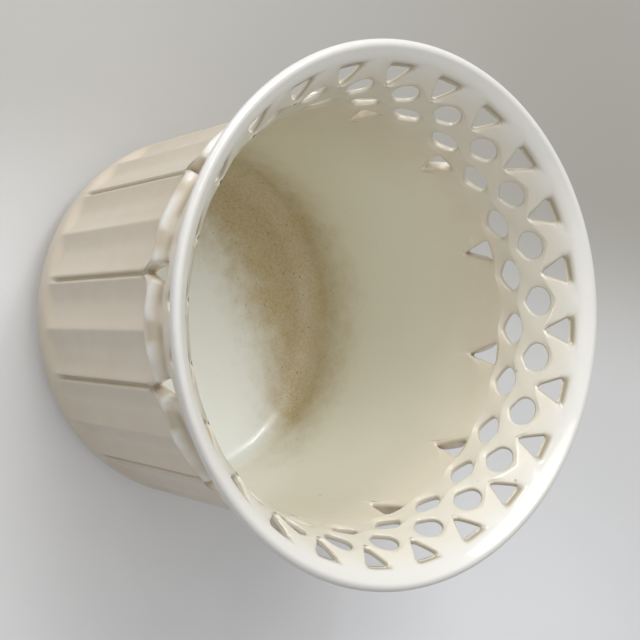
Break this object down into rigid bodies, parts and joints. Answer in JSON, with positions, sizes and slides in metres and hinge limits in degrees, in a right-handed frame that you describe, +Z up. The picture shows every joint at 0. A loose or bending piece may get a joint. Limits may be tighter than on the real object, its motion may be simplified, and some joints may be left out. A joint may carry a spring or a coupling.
{
  "type": "flower pot",
  "caption": "Cream-glazed flower pot with fluted, arched panels and a flared rim pierced as a lattice, open at the top to hold a potted plant.",
  "frame": {"origin": "centre of the foot ring, on the surface that the pot stands on", "axes": "+Z up along the pot's axis, +X out through the arris of a fluted panel"},
  "size_m": [0.19, 0.19, 0.137],
  "materials": {
    "glaze": "gloss",
    "bare_clay": "matt"
  },
  "bodies": {
    "root": {"foot_ring": "bare_clay", "base_dish": "glaze", "fluted_body": "glaze", "arched_shoulder": "glaze", "lattice_collar": "glaze", "rim_lip": "glaze"}
  },
  "joints": []
}
